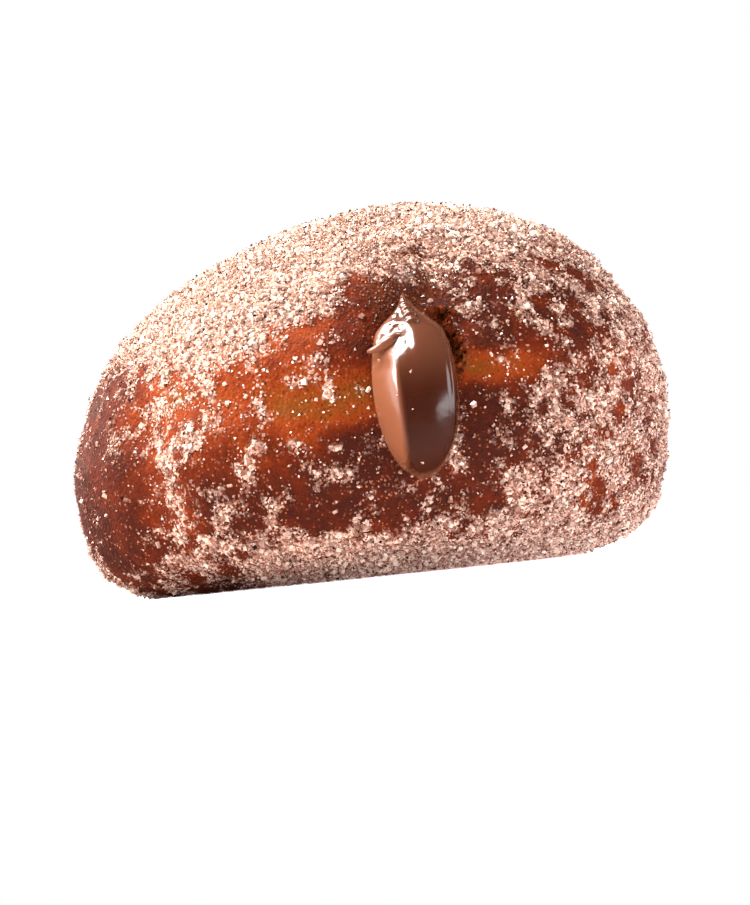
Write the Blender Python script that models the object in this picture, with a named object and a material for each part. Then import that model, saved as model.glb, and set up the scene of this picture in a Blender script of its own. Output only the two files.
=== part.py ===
"""Filled doughnut: a ball of fried yeast dough whose cream filling has run out of a hole in its side.

Metres, +Z up. The doughnut lies on its flat foot at z = 0, and its front, with the filling, faces -Y.
The origin is the middle of the whole object's footprint.
"""

import math
from collections import namedtuple

import bmesh
import bpy
import numpy as np
from mathutils import Vector

# The dough: a dome over a flatter underside, widest at its belly.
DOUGH_CENTER_X = 0.00038
DOUGH_CENTER_Y = 0.00220
HALF_WIDTH = 0.04065
HALF_DEPTH = 0.03760
BELLY_HEIGHT = 0.0180
DOME_RISE = 0.0322
UNDERSIDE_DROP = 0.0188
PLAN_POWER = 2.15
DOME_POWER = 1.92
BELLY_POWER = 2.30
UNDERSIDE_POWER = 3.70
POWER_BLEND = 0.45
DOME_LEAN = 0.0050

# The pale line round the side, where the dough floated in the oil: a shallow waist.
WAIST_HEIGHT = 0.0245
WAIST_DEPTH = 0.0008
WAIST_SPREAD = 0.0026

# Swellings (height above 0) and hollows (below 0), by direction from the belly's middle.
# Longitude is measured from +X about +Z, so the front is -90; angles are in degrees.
Swelling = namedtuple("Swelling", "longitude latitude spread height")
SWELLINGS = (
    Swelling(longitude=-172, latitude=-30, spread=20, height=0.0021),
    Swelling(longitude=-12, latitude=42, spread=13, height=0.0007),
    Swelling(longitude=-176, latitude=30, spread=11, height=0.0010),
    Swelling(longitude=-20, latitude=-50, spread=14, height=-0.0006),
    Swelling(longitude=68, latitude=-36, spread=24, height=0.0010),
    Swelling(longitude=125, latitude=25, spread=30, height=0.0010),
    Swelling(longitude=-98, latitude=-50, spread=20, height=-0.0013),
    Swelling(longitude=-140, latitude=38, spread=24, height=-0.0006),
    Swelling(longitude=5, latitude=20, spread=16, height=-0.0009),
    Swelling(longitude=95, latitude=-2, spread=20, height=-0.0007),
)

# Creases: narrow furrows between two directions, in the same angles.
Crease = namedtuple("Crease", "start end spread depth")
CREASES = (
    Crease(start=(-137, -46), end=(-139, 4), spread=4.5, depth=0.0015),
    Crease(start=(-77, 33), end=(-72, 45), spread=4.0, depth=0.0013),
    Crease(start=(150, -42), end=(147, -6), spread=5.0, depth=0.0010),
)

# The mouth that the filling came out of, and the hollow torn beside it.
MOUTH = Swelling(longitude=-77, latitude=22, spread=9.5, height=-0.0024)
TEAR_CENTER = (0.0108, -0.0320, 0.0278)
TEAR_SIZE = (0.0027, 0.0065, 0.0042)

# The tongue of filling that hangs down the front.
TONGUE_X = 0.0067
TONGUE_TOP = 0.0354
TONGUE_TIP = 0.0119
TONGUE_HALF_WIDTH = 0.0055
TONGUE_THICKNESS = 0.0058
TONGUE_SINK = 0.0012
TONGUE_SECTION_POWER = 2.4
TONGUE_TAPER = 0.16
FLAP_HEIGHT = 0.0286
FLAP_REACH = 0.0013
FLAP_SPREAD = 0.0014

# The filling inside: a neck from the tongue's root, just proud of the skin, to the pocket in the crumb.
ROOT_HEIGHT = 0.0290
ROOT_PROUD = 0.0006
NECK_RADIUS = 0.0026
POCKET_CENTER = (0.0010, 0.0005, 0.0245)
POCKET_SIZE = (0.0155, 0.0135, 0.0085)

# The gap between the filling and the dough, so that their meshes never meet.
GAP = 0.0003

# How finely each form is faceted.
DOUGH_SUBDIVISIONS = 5
TONGUE_SUBDIVISIONS = 4
POCKET_SUBDIVISIONS = 3
TEAR_SUBDIVISIONS = 3
NECK_SIDES = 16
SKIN_SEARCH_STEPS = 40


def direction(longitude, latitude):
    """The unit vector in a direction given in degrees."""
    lon = math.radians(longitude)
    lat = math.radians(latitude)
    return np.array((math.cos(lat) * math.cos(lon), math.cos(lat) * math.sin(lon), math.sin(lat)))


def smoothstep(low, high, value):
    """0 below low, 1 above high, and an easy curve between."""
    t = np.clip((value - low) / (high - low), 0.0, 1.0)
    return t * t * (3.0 - 2.0 * t)


def bell(distance, spread):
    """A bell curve: 1 at no distance, and near 0 past twice the spread."""
    return np.exp(-0.5 * (distance / spread) ** 2)


def angle_to_point(directions, target):
    """Angle in degrees from each direction to one target direction."""
    return np.degrees(np.arccos(np.clip(directions @ target, -1.0, 1.0)))


def angle_to_line(directions, start, end, steps=12):
    """Angle in degrees from each direction to the nearest point between two directions."""
    nearest = np.full(len(directions), 180.0)
    for step in range(steps + 1):
        target = start + (end - start) * (step / steps)
        target = target / np.linalg.norm(target)
        nearest = np.minimum(nearest, angle_to_point(directions, target))
    return nearest


def plan_radius(longitude):
    """The dough's radius at its belly, seen from above."""
    across = np.abs(np.cos(longitude)) / HALF_WIDTH
    deep = np.abs(np.sin(longitude)) / HALF_DEPTH
    round_plan = (across ** PLAN_POWER + deep ** PLAN_POWER) ** (-1.0 / PLAN_POWER)
    unevenness = 0.009 * np.cos(3 * longitude + 0.6) + 0.006 * np.sin(5 * longitude - 1.1)
    return round_plan * (1.0 + unevenness)


def section_power(height_ratio):
    """How square the dough's section is: a round dome that eases into a boxier underside."""
    above = smoothstep(0.0, POWER_BLEND, height_ratio)
    below = smoothstep(0.0, POWER_BLEND, -height_ratio)
    return BELLY_POWER + (DOME_POWER - BELLY_POWER) * above + (UNDERSIDE_POWER - BELLY_POWER) * below


def swelling_height(directions, swelling):
    """How far one swelling or hollow moves the skin in each direction."""
    center = direction(swelling.longitude, swelling.latitude)
    return swelling.height * bell(angle_to_point(directions, center), swelling.spread)


def dough_radius(directions, with_mouth=True):
    """Distance from the belly's middle to the skin in each direction."""
    flat = np.hypot(directions[:, 0], directions[:, 1])
    rise = np.abs(directions[:, 2])
    longitude = np.arctan2(directions[:, 1], directions[:, 0])
    reach = np.where(directions[:, 2] > 0.0, DOME_RISE, UNDERSIDE_DROP)
    power = section_power(directions[:, 2])
    radius = ((flat / plan_radius(longitude)) ** power + (rise / reach) ** power) ** (-1.0 / power)
    for swelling in SWELLINGS:
        radius += swelling_height(directions, swelling)
    for crease in CREASES:
        nearest = angle_to_line(directions, direction(*crease.start), direction(*crease.end))
        radius -= crease.depth * bell(nearest, crease.spread)
    if with_mouth:
        radius += swelling_height(directions, MOUTH)
    return radius


def place_skin(directions, radius):
    """World points of the skin: the dome's lean, the waist and the flat foot are added here."""
    points = directions * radius[:, None]
    lift = np.clip(points[:, 2] / DOME_RISE, 0.0, 1.0)
    longitude = np.arctan2(directions[:, 1], directions[:, 0])
    front = 0.35 + 0.65 * smoothstep(0.2, 0.9, -np.sin(longitude))
    waist = WAIST_DEPTH * front * bell(points[:, 2] + BELLY_HEIGHT - WAIST_HEIGHT, WAIST_SPREAD)
    points[:, 0] += DOUGH_CENTER_X + DOME_LEAN * lift - waist * np.cos(longitude)
    points[:, 1] += DOUGH_CENTER_Y - waist * np.sin(longitude)
    points[:, 2] = np.maximum(points[:, 2] + BELLY_HEIGHT, 0.0)
    return points


def front_skin(x, z):
    """The y of the front skin, as it is without the mouth, at each x and z."""
    lift = np.clip((z - BELLY_HEIGHT) / DOME_RISE, 0.0, 1.0)
    local_x = x - DOUGH_CENTER_X - DOME_LEAN * lift
    local_z = z - BELLY_HEIGHT
    inner = np.zeros_like(x)
    outer = np.full_like(x, 2.0 * HALF_DEPTH)
    for _ in range(SKIN_SEARCH_STEPS):
        middle = 0.5 * (inner + outer)
        points = np.column_stack((local_x, -middle, local_z))
        distance = np.linalg.norm(points, axis=1)
        inside = distance < dough_radius(points / distance[:, None], with_mouth=False)
        inner = np.where(inside, middle, inner)
        outer = np.where(inside, outer, middle)
    return DOUGH_CENTER_Y - 0.5 * (inner + outer)


def tongue_surface(directions, growth=0.0):
    """Points of the tongue of filling, or of the room for it when grown."""
    across, outward, up = -directions[:, 0], -directions[:, 1], directions[:, 2]
    middle = 0.5 * (TONGUE_TOP + TONGUE_TIP)
    z = middle + up * (0.5 * (TONGUE_TOP - TONGUE_TIP) + growth)
    ring = np.hypot(across, outward)
    square = ring / np.maximum(
        (np.abs(across) ** TONGUE_SECTION_POWER + np.abs(outward) ** TONGUE_SECTION_POWER)
        ** (1.0 / TONGUE_SECTION_POWER), 1e-9)
    taper = 1.0 - TONGUE_TAPER * np.maximum(-up, 0.0) ** 2
    flap = FLAP_REACH * bell(z - FLAP_HEIGHT, FLAP_SPREAD) * np.maximum(across, 0.0) ** 2
    x = TONGUE_X - across * square * taper * (TONGUE_HALF_WIDTH + growth) - flap
    thickness = (TONGUE_THICKNESS + growth) * (0.72 + 0.28 * smoothstep(0.75, -0.35, up))
    proud = np.where(outward > 0.0, thickness * outward, (TONGUE_SINK + growth) * outward) * square
    y = front_skin(np.clip(x, TONGUE_X - TONGUE_HALF_WIDTH, TONGUE_X + TONGUE_HALF_WIDTH), z) - proud
    return np.column_stack((x, y, z))


def new_material(name, color, roughness):
    """A Principled material of one colour."""
    material = bpy.data.materials.new(name)
    material.use_nodes = True
    shader = material.node_tree.nodes["Principled BSDF"]
    shader.inputs["Base Color"].default_value = (*color, 1.0)
    shader.inputs["Roughness"].default_value = roughness
    shader.inputs["Metallic"].default_value = 0.0
    return material


def sphere_mesh(subdivisions):
    """A faceted unit sphere."""
    mesh = bmesh.new()
    bmesh.ops.create_icosphere(mesh, subdivisions=subdivisions, radius=1.0)
    return mesh


def shape_sphere(mesh, surface):
    """Move each point of a unit sphere to where surface puts its direction."""
    directions = np.array([vertex.co.normalized() for vertex in mesh.verts])
    for vertex, point in zip(mesh.verts, surface(directions)):
        vertex.co = point


def add_object(name, mesh, material=None):
    """Turn a bmesh into a smooth-shaded object of the scene."""
    data = bpy.data.meshes.new(name)
    mesh.to_mesh(data)
    mesh.free()
    data.shade_smooth()
    if material is not None:
        data.materials.append(material)
    item = bpy.data.objects.new(name, data)
    bpy.context.collection.objects.link(item)
    return item


def hide_cutter(item):
    """Mark an object as one that only shapes another."""
    item.hide_render = True
    item.display_type = "WIRE"
    return item


def ellipsoid(name, center, size, subdivisions, growth=0.0, material=None):
    """An ellipsoid of the given centre and half sizes."""
    mesh = sphere_mesh(subdivisions)
    half_sizes = np.array(size) + growth
    shape_sphere(mesh, lambda directions: directions * half_sizes + np.array(center))
    return add_object(name, mesh, material)


def neck(name, growth=0.0):
    """The straight neck between the tongue's root and the pocket's middle."""
    root_skin = front_skin(np.array([TONGUE_X]), np.array([ROOT_HEIGHT]))[0]
    start = Vector((TONGUE_X, root_skin - ROOT_PROUD, ROOT_HEIGHT))
    end = Vector(POCKET_CENTER)
    mesh = bmesh.new()
    radius = NECK_RADIUS + growth
    bmesh.ops.create_cone(mesh, cap_ends=True, segments=NECK_SIDES, radius1=radius, radius2=radius,
                          depth=(end - start).length)
    turn = (end - start).to_track_quat("Z", "Y").to_matrix()
    bmesh.ops.rotate(mesh, verts=mesh.verts, cent=(0, 0, 0), matrix=turn)
    bmesh.ops.translate(mesh, verts=mesh.verts, vec=(start + end) / 2)
    return add_object(name, mesh)


def add_boolean(item, other, operation):
    """Combine an object with another by an exact Boolean."""
    modifier = item.modifiers.new(operation.title() + " " + other.name, "BOOLEAN")
    modifier.operation = operation
    modifier.object = other
    modifier.solver = "EXACT"


def build_filling(name, growth=0.0, material=None):
    """The whole filling as one solid: tongue, neck and pocket."""
    mesh = sphere_mesh(TONGUE_SUBDIVISIONS)
    shape_sphere(mesh, lambda directions: tongue_surface(directions, growth))
    filling = add_object(name, mesh, material)
    inner_neck = hide_cutter(neck(name + "_neck", growth))
    pocket = ellipsoid(name + "_pocket", POCKET_CENTER, POCKET_SIZE, POCKET_SUBDIVISIONS, growth)
    add_boolean(filling, inner_neck, "UNION")
    add_boolean(filling, hide_cutter(pocket), "UNION")
    return filling


def build_dough(material):
    """The dough, cut out for its filling and torn open beside it."""
    mesh = sphere_mesh(DOUGH_SUBDIVISIONS)
    shape_sphere(mesh, lambda directions: place_skin(directions, dough_radius(directions)))
    dough = add_object("dough", mesh, material)
    tear = ellipsoid("tear_cutter", TEAR_CENTER, TEAR_SIZE, TEAR_SUBDIVISIONS)
    add_boolean(dough, hide_cutter(tear), "DIFFERENCE")
    add_boolean(dough, hide_cutter(build_filling("filling_room", GAP)), "DIFFERENCE")
    return dough


def main():
    """Build the doughnut in an empty scene."""
    for item in list(bpy.data.objects):
        bpy.data.objects.remove(item, do_unlink=True)
    build_dough(new_material("fried_dough", (0.21, 0.055, 0.022), 0.6))
    build_filling("filling", material=new_material("chocolate_cream", (0.085, 0.022, 0.010), 0.2))


main()
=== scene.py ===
"""Looks of a filled doughnut: its fried crust, the cream that runs out, and its cinnamon sugar."""

import itertools
import logging
import math
from dataclasses import dataclass, field
from enum import Enum

import bpy
import numpy as np
from mathutils import Euler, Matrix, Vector


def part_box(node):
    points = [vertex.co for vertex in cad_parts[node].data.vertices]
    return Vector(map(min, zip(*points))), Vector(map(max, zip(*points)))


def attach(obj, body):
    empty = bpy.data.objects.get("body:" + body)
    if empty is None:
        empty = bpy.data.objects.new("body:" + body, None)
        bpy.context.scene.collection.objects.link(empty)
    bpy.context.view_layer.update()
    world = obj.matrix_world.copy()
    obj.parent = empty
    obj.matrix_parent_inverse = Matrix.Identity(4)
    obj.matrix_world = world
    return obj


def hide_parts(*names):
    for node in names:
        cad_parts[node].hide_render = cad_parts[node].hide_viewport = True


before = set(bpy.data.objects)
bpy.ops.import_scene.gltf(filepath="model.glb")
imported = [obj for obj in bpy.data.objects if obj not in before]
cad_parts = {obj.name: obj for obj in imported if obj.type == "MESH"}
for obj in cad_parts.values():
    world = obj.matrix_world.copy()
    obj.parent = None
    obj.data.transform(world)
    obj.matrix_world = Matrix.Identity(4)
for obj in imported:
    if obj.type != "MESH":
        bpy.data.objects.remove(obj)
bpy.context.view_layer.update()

log = logging.getLogger("doughnut")

MM = 0.001
FULL_TURN = 2 * math.pi
BODY = "root"

Array = np.ndarray
Socket = bpy.types.NodeSocket
Pair = tuple[float, float]
Triple = tuple[float, float, float]
Colour = tuple[float, float, float, float]
Layers = tuple[tuple[float, float, int], ...]


# ---------------------------------------------------------------- small maths

def mm(*sizes: float) -> tuple[float, ...]:
    """Sizes in millimetres, as metres."""
    return tuple(size * MM for size in sizes)


def direction(longitude: float, latitude: float) -> Array:
    """Unit vector of a direction.

    Args:
        longitude: Angle about +Z from +X, in degrees.
        latitude: Angle above the horizontal, in degrees.

    Returns:
        The vector, as three numbers.
    """
    lon, lat = math.radians(longitude), math.radians(latitude)
    return np.array((math.cos(lat) * math.cos(lon), math.cos(lat) * math.sin(lon), math.sin(lat)))


def smoothstep(low: float, high: float, value: Array) -> Array:
    """Ease from 0 at low to 1 at high.

    Args:
        low: Where the result is still 0.
        high: Where the result is already 1.
        value: The values to ease.

    Returns:
        The eased values, from 0 to 1.
    """
    t = np.clip((value - low) / (high - low), 0.0, 1.0)
    return t * t * (3.0 - 2.0 * t)


def bell(distance: Array, spread: float) -> Array:
    """Bell curve of a distance: 1 at none, near 0 past twice the spread."""
    return np.exp(-0.5 * (distance / spread) ** 2)


def soft_least(first: Array, second: Array, softness: float) -> Array:
    """The lesser of two values, rounded off where they meet."""
    blend = np.clip(0.5 + 0.5 * (second - first) / softness, 0.0, 1.0)
    return second + (first - second) * blend - softness * blend * (1.0 - blend)


def angle_to_point(directions: Array, target: Array) -> Array:
    """Angles in degrees from unit vectors to one unit vector."""
    return np.degrees(np.arccos(np.clip(directions @ target, -1.0, 1.0)))


def angle_to_line(directions: Array, start: Pair, end: Pair, steps: int = 12) -> Array:
    """Angles from unit vectors to the nearest point of a line between two directions.

    Args:
        directions: Unit vectors, one a row.
        start: Longitude and latitude of the line's start.
        end: Longitude and latitude of its end.
        steps: How many stretches the line is tested in.

    Returns:
        One angle in degrees for each row.
    """
    first, last = direction(*start), direction(*end)
    nearest = np.full(len(directions), 180.0)
    for step in range(steps + 1):
        target = first + (last - first) * (step / steps)
        nearest = np.minimum(nearest, angle_to_point(directions, target / np.linalg.norm(target)))
    return nearest


def bezier(knots: Array, share: Array) -> Array:
    """Places along a curve that is drawn toward each knot in turn.

    Args:
        knots: The knots, one a row; the curve starts at the first and ends at the last.
        share: How far along each place is, from 0 to 1.

    Returns:
        One place a row.
    """
    degree = len(knots) - 1
    total = np.zeros((len(share), 3))
    for index, knot in enumerate(knots):
        weight = math.comb(degree, index) * share ** index * (1.0 - share) ** (degree - index)
        total += weight[:, None] * knot
    return total


def rotate(grains: Array, turns: Array) -> Array:
    """Turn each grain by its own unit quaternion.

    Args:
        grains: Points of each grain, as an array of grain, point, axis.
        turns: One quaternion a row.

    Returns:
        The turned points.
    """
    w, x, y, z = turns.T
    rows = np.array(((1 - 2 * (y * y + z * z), 2 * (x * y - z * w), 2 * (x * z + y * w)),
                     (2 * (x * y + z * w), 1 - 2 * (x * x + z * z), 2 * (y * z - x * w)),
                     (2 * (x * z - y * w), 2 * (y * z + x * w), 1 - 2 * (x * x + y * y))))
    return np.einsum("nij,nkj->nki", np.ascontiguousarray(rows.transpose(2, 0, 1)), grains)


@dataclass(frozen=True)
class LatticeNoise:
    """Smooth noise from -1 to 1 on a repeating lattice of seeded values."""

    seed: int
    cells: int = 48
    layer_shift: float = 7.3
    layer_total: float = 1.4

    def at(self, points: Array, wavelength: float) -> Array:
        """Sample the noise.

        Args:
            points: Places in metres, one a row.
            wavelength: Size of one lattice cell in metres.

        Returns:
            One value for each place.
        """
        values = np.random.default_rng(self.seed).uniform(-1.0, 1.0, (self.cells,) * 3)
        scaled = points / wavelength
        cell = np.floor(scaled).astype(int)
        ease = smoothstep(0.0, 1.0, scaled - cell)
        total = np.zeros(len(points))
        for corner in itertools.product((0, 1), repeat=3):
            weight = np.prod(np.where(np.array(corner) == 1, ease, 1.0 - ease), axis=1)
            index = (cell + corner) % self.cells
            total += weight * values[index[:, 0], index[:, 1], index[:, 2]]
        return total

    def layered(self, points: Array, wavelength: float, layers: int = 3) -> Array:
        """Sum of finer and fainter layers of the noise.

        Args:
            points: Places in metres, one a row.
            wavelength: Size of the coarsest layer's cells in metres.
            layers: How many layers there are, each half as large and half as strong.

        Returns:
            One value for each place, from about -1 to 1.
        """
        total = np.zeros(len(points))
        for layer in range(layers):
            moved = points + layer * self.layer_shift * wavelength
            total += self.at(moved, wavelength / 2 ** layer) / 2 ** layer
        return total / self.layer_total

    def blended(self, points: Array, parts: Layers) -> Array:
        """Sum of layered noises.

        Args:
            points: Places in metres, one a row.
            parts: Strength, wavelength in metres and number of layers of each noise.

        Returns:
            One value for each place.
        """
        total = np.zeros(len(points))
        for strength, wavelength, layers in parts:
            total += strength * self.layered(points, wavelength, layers)
        return total


# ---------------------------------------------------------------- mesh making

WELD_STEPS = 1e6
MAP_MARGIN = 0.01


def cube_sphere(divisions: int) -> tuple[Array, Array]:
    """Even grid of four-sided faces over a unit sphere.

    Args:
        divisions: Faces along each edge of the cube that the grid is blown up from.

    Returns:
        Unit vectors, one a row, and faces as rows of four row numbers, facing out.
    """
    angle = np.linspace(-math.pi / 4, math.pi / 4, divisions + 1)
    u, v = np.meshgrid(np.tan(angle), np.tan(angle), indexing="ij")
    sides = []
    for axis, sign in itertools.product(range(3), (1.0, -1.0)):
        grid = np.empty((divisions + 1, divisions + 1, 3))
        grid[..., axis] = sign
        grid[..., (axis + 1) % 3] = u * sign
        grid[..., (axis + 2) % 3] = v
        sides.append(grid.reshape(-1, 3))
    points = np.vstack(sides)
    points /= np.linalg.norm(points, axis=1, keepdims=True)
    row = np.arange(divisions)
    first = (row[:, None] * (divisions + 1) + row[None, :]).ravel()
    quad = np.stack((first, first + divisions + 1, first + divisions + 2, first + 1), axis=1)
    faces = np.vstack([quad + side * (divisions + 1) ** 2 for side in range(6)])
    _, keep, welded = np.unique(np.round(points * WELD_STEPS).astype(np.int64), axis=0,
                                return_index=True, return_inverse=True)
    return points[keep], welded.reshape(-1)[faces]


def cube_map(divisions: int) -> Array:
    """Where each face corner of the even grid lies on a flat map, three sides by two.

    Args:
        divisions: Faces along each edge of the cube.

    Returns:
        Map places, one a row, in the order of the grid's face corners.
    """
    row, column = np.meshgrid(np.arange(divisions), np.arange(divisions), indexing="ij")
    corner = np.stack([np.stack((row + i, column + j), axis=-1)
                       for i, j in ((0, 0), (1, 0), (1, 1), (0, 1))], axis=2)
    square = MAP_MARGIN + (1.0 - 2 * MAP_MARGIN) * corner.reshape(-1, 2) / divisions
    return np.vstack([(square + (side % 3, side // 3)) / (3.0, 2.0) for side in range(6)])


def tube_faces(rows: int, sides: int) -> Array:
    """Four-sided faces that join the rings of a tube.

    Args:
        rows: How many rings there are.
        sides: How many points a ring has.

    Returns:
        Faces, as rows of four row numbers.
    """
    row, side = np.meshgrid(np.arange(rows - 1), np.arange(sides), indexing="ij")
    first, second = row * sides + side, row * sides + (side + 1) % sides
    return np.stack((first, second, second + sides, first + sides), axis=-1).reshape(-1, 4)


def new_mesh(name: str, points: Array, faces: Array, smooth: bool) -> bpy.types.Object:
    """Make an object from arrays.

    Args:
        name: The object's name.
        points: Places in metres, one a row.
        faces: Row numbers of each face's corners, the same number for every face.
        smooth: Whether the faces are shaded smooth.

    Returns:
        The object, linked to the scene.
    """
    mesh = bpy.data.meshes.new(name)
    mesh.vertices.add(len(points))
    mesh.vertices.foreach_set("co", points.astype(np.float32).ravel())
    mesh.loops.add(faces.size)
    mesh.loops.foreach_set("vertex_index", faces.astype(np.int32).ravel())
    mesh.polygons.add(len(faces))
    starts = np.arange(0, faces.size, faces.shape[1], dtype=np.int32)
    mesh.polygons.foreach_set("loop_start", starts)
    mesh.polygons.foreach_set("use_smooth", np.full(len(faces), smooth))
    mesh.update(calc_edges=True)
    item = bpy.data.objects.new(name, mesh)
    bpy.context.scene.collection.objects.link(item)
    return item


def set_map(item: bpy.types.Object, places: Array) -> None:
    """Store a flat map for a mesh's face corners."""
    layer = item.data.uv_layers.new(name="OFBake")
    layer.data.foreach_set("uv", places.astype(np.float32).ravel())


def set_attribute(item: bpy.types.Object, name: str, values: Array) -> None:
    """Store one number for each point of a mesh under a name that materials read."""
    layer = item.data.attributes.new(name, "FLOAT", "POINT")
    layer.data.foreach_set("value", values.astype(np.float32))


def read_rows(rows: bpy.types.bpy_prop_collection, name: str, width: int,
              kind: type = np.float32) -> Array:
    """Read one property of everything in one of a mesh's lists.

    Args:
        rows: The list, such as the mesh's points.
        name: The property's name.
        width: How many numbers the property has.
        kind: What sort of number they are.

    Returns:
        The numbers, in rows of the given width where it is more than 1.
    """
    values = np.empty(len(rows) * width, kind)
    rows.foreach_get(name, values)
    return values if width == 1 else values.reshape(-1, width).astype(float)


def read_attribute(mesh: bpy.types.Mesh, name: str) -> Array:
    """Read back the numbers that a mesh stores under a name."""
    return read_rows(mesh.attributes[name].data, "value", 1)


# ---------------------------------------------------------------- the forms

@dataclass(frozen=True)
class Swelling:
    """A swelling (height above 0) or hollow (below 0) about one direction, in degrees."""

    longitude: float
    latitude: float
    spread: float
    height: float

    def at(self, directions: Array) -> Array:
        """How far it moves the skin in each direction."""
        apart = angle_to_point(directions, direction(self.longitude, self.latitude))
        return self.height * bell(apart, self.spread)


@dataclass(frozen=True)
class Crease:
    """A furrow between two directions, in degrees."""

    start: Pair
    end: Pair
    spread: float
    depth: float

    def at(self, directions: Array) -> Array:
        """How far it sinks the skin in each direction."""
        return self.depth * bell(angle_to_line(directions, self.start, self.end), self.spread)


@dataclass
class DoughForm:
    """The dough's outer form: a dome over a flatter underside, fitted to the dough node's box."""

    half_width: float = 40.65 * MM
    half_depth: float = 37.60 * MM
    belly_height: float = 18.0 * MM
    dome_rise: float = 32.2 * MM
    underside_drop: float = 18.8 * MM
    plan_power: float = 2.15
    three_lobes: Pair = (0.009, 0.6)
    five_lobes: Pair = (0.006, -1.1)
    dome_power: float = 1.92
    belly_power: float = 2.30
    underside_power: float = 3.70
    power_blend: float = 0.45
    dome_lean: float = 5.0 * MM
    waist_height: float = 24.5 * MM
    waist_depth: float = 0.8 * MM
    waist_spread: float = 2.6 * MM
    waist_behind: float = 0.35
    waist_turn: Pair = (0.2, 0.9)
    swellings: tuple[Swelling, ...] = (
        Swelling(-172, -30, 20, 2.1 * MM),
        Swelling(-12, 42, 13, 0.7 * MM),
        Swelling(-176, 30, 11, 1.0 * MM),
        Swelling(-20, -50, 14, -0.6 * MM),
        Swelling(68, -36, 24, 1.0 * MM),
        Swelling(125, 25, 30, 1.0 * MM),
        Swelling(-98, -50, 20, -1.3 * MM),
        Swelling(-140, 38, 24, -0.6 * MM),
        Swelling(5, 20, 16, -0.9 * MM),
        Swelling(95, -2, 20, -0.7 * MM),
    )
    creases: tuple[Crease, ...] = (
        Crease((-137, -46), (-139, 4), 4.5, 1.5 * MM),
        Crease((-77, 33), (-72, 45), 4.0, 1.3 * MM),
        Crease((150, -42), (147, -6), 5.0, 1.0 * MM),
    )
    mouth: Swelling = Swelling(-77, 22, 9.5, -2.4 * MM)
    sugar_depth: float = 0.3 * MM
    fitting_divisions: int = 24
    search_steps: int = 24
    shift: Array = field(default_factory=lambda: np.zeros(3))

    def __post_init__(self) -> None:
        """Centre the form on the dough node's box."""
        low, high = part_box("dough")
        points = self.skin(cube_sphere(self.fitting_divisions)[0])
        middle = 0.5 * (points.min(axis=0) + points.max(axis=0))
        self.shift = np.array(((low.x + high.x) / 2 - middle[0],
                               (low.y + high.y) / 2 - middle[1], low.z))

    def plan_radius(self, longitude: Array) -> Array:
        """Radius of the belly, seen from above.

        Args:
            longitude: Longitudes in radians.

        Returns:
            One radius in metres for each.
        """
        across = np.abs(np.cos(longitude)) / self.half_width
        deep = np.abs(np.sin(longitude)) / self.half_depth
        even = (across ** self.plan_power + deep ** self.plan_power) ** (-1.0 / self.plan_power)
        (three, three_turn), (five, five_turn) = self.three_lobes, self.five_lobes
        return even * (1.0 + three * np.cos(3 * longitude + three_turn)
                       + five * np.sin(5 * longitude + five_turn))

    def section_power(self, height_ratio: Array) -> Array:
        """How square the section is: a round dome over a boxier underside.

        Args:
            height_ratio: Heights, as shares of the distance from the belly's middle.

        Returns:
            The power of the section's curve at each height.
        """
        above = smoothstep(0.0, self.power_blend, height_ratio)
        below = smoothstep(0.0, self.power_blend, -height_ratio)
        return (self.belly_power + (self.dome_power - self.belly_power) * above
                + (self.underside_power - self.belly_power) * below)

    def radius(self, directions: Array, with_mouth: bool = True) -> Array:
        """Distance from the belly's middle to the skin.

        Args:
            directions: Unit vectors, one a row.
            with_mouth: Whether the hollow round the filling's mouth is in it.

        Returns:
            One distance in metres for each direction.
        """
        flat = np.hypot(directions[:, 0], directions[:, 1])
        reach = np.where(directions[:, 2] > 0.0, self.dome_rise, self.underside_drop)
        power = self.section_power(directions[:, 2])
        belly = self.plan_radius(np.arctan2(directions[:, 1], directions[:, 0]))
        height = np.abs(directions[:, 2]) / reach
        radius = ((flat / belly) ** power + height ** power) ** (-1.0 / power)
        for swelling in self.swellings:
            radius += swelling.at(directions)
        for crease in self.creases:
            radius -= crease.at(directions)
        if with_mouth:
            radius += self.mouth.at(directions)
        return radius - self.sugar_depth

    def skin(self, directions: Array) -> Array:
        """Places of the skin, with the dome's lean, the waist and the flat foot.

        Args:
            directions: Unit vectors, one a row.

        Returns:
            Places in metres, one a row.
        """
        points = directions * self.radius(directions)[:, None]
        lift = np.clip(points[:, 2] / self.dome_rise, 0.0, 1.0)
        longitude = np.arctan2(directions[:, 1], directions[:, 0])
        front = smoothstep(*self.waist_turn, -np.sin(longitude))
        front = self.waist_behind + (1.0 - self.waist_behind) * front
        level = points[:, 2] + self.belly_height - self.waist_height
        waist = self.waist_depth * front * bell(level, self.waist_spread)
        points[:, 0] += self.dome_lean * lift - waist * np.cos(longitude)
        points[:, 1] -= waist * np.sin(longitude)
        points[:, 2] = np.maximum(points[:, 2] + self.belly_height, 0.0)
        return points + self.shift

    def front_skin(self, x: Array, z: Array) -> Array:
        """Find the front skin, without the mouth, by halving.

        Args:
            x: Places across, in metres.
            z: Heights, in metres.

        Returns:
            The skin's y at each x and z.
        """
        lift = np.clip((z - self.belly_height) / self.dome_rise, 0.0, 1.0)
        local_x = x - self.shift[0] - self.dome_lean * lift
        local_z = z - self.belly_height - self.shift[2]
        inner, outer = np.zeros_like(x), np.full_like(x, 2.0 * self.half_depth)
        for _ in range(self.search_steps):
            middle = 0.5 * (inner + outer)
            points = np.column_stack((local_x, -middle, local_z))
            distance = np.linalg.norm(points, axis=1)
            inside = distance < self.radius(points / distance[:, None], with_mouth=False)
            inner = np.where(inside, middle, inner)
            outer = np.where(inside, outer, middle)
        return self.shift[1] - 0.5 * (inner + outer)

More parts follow.
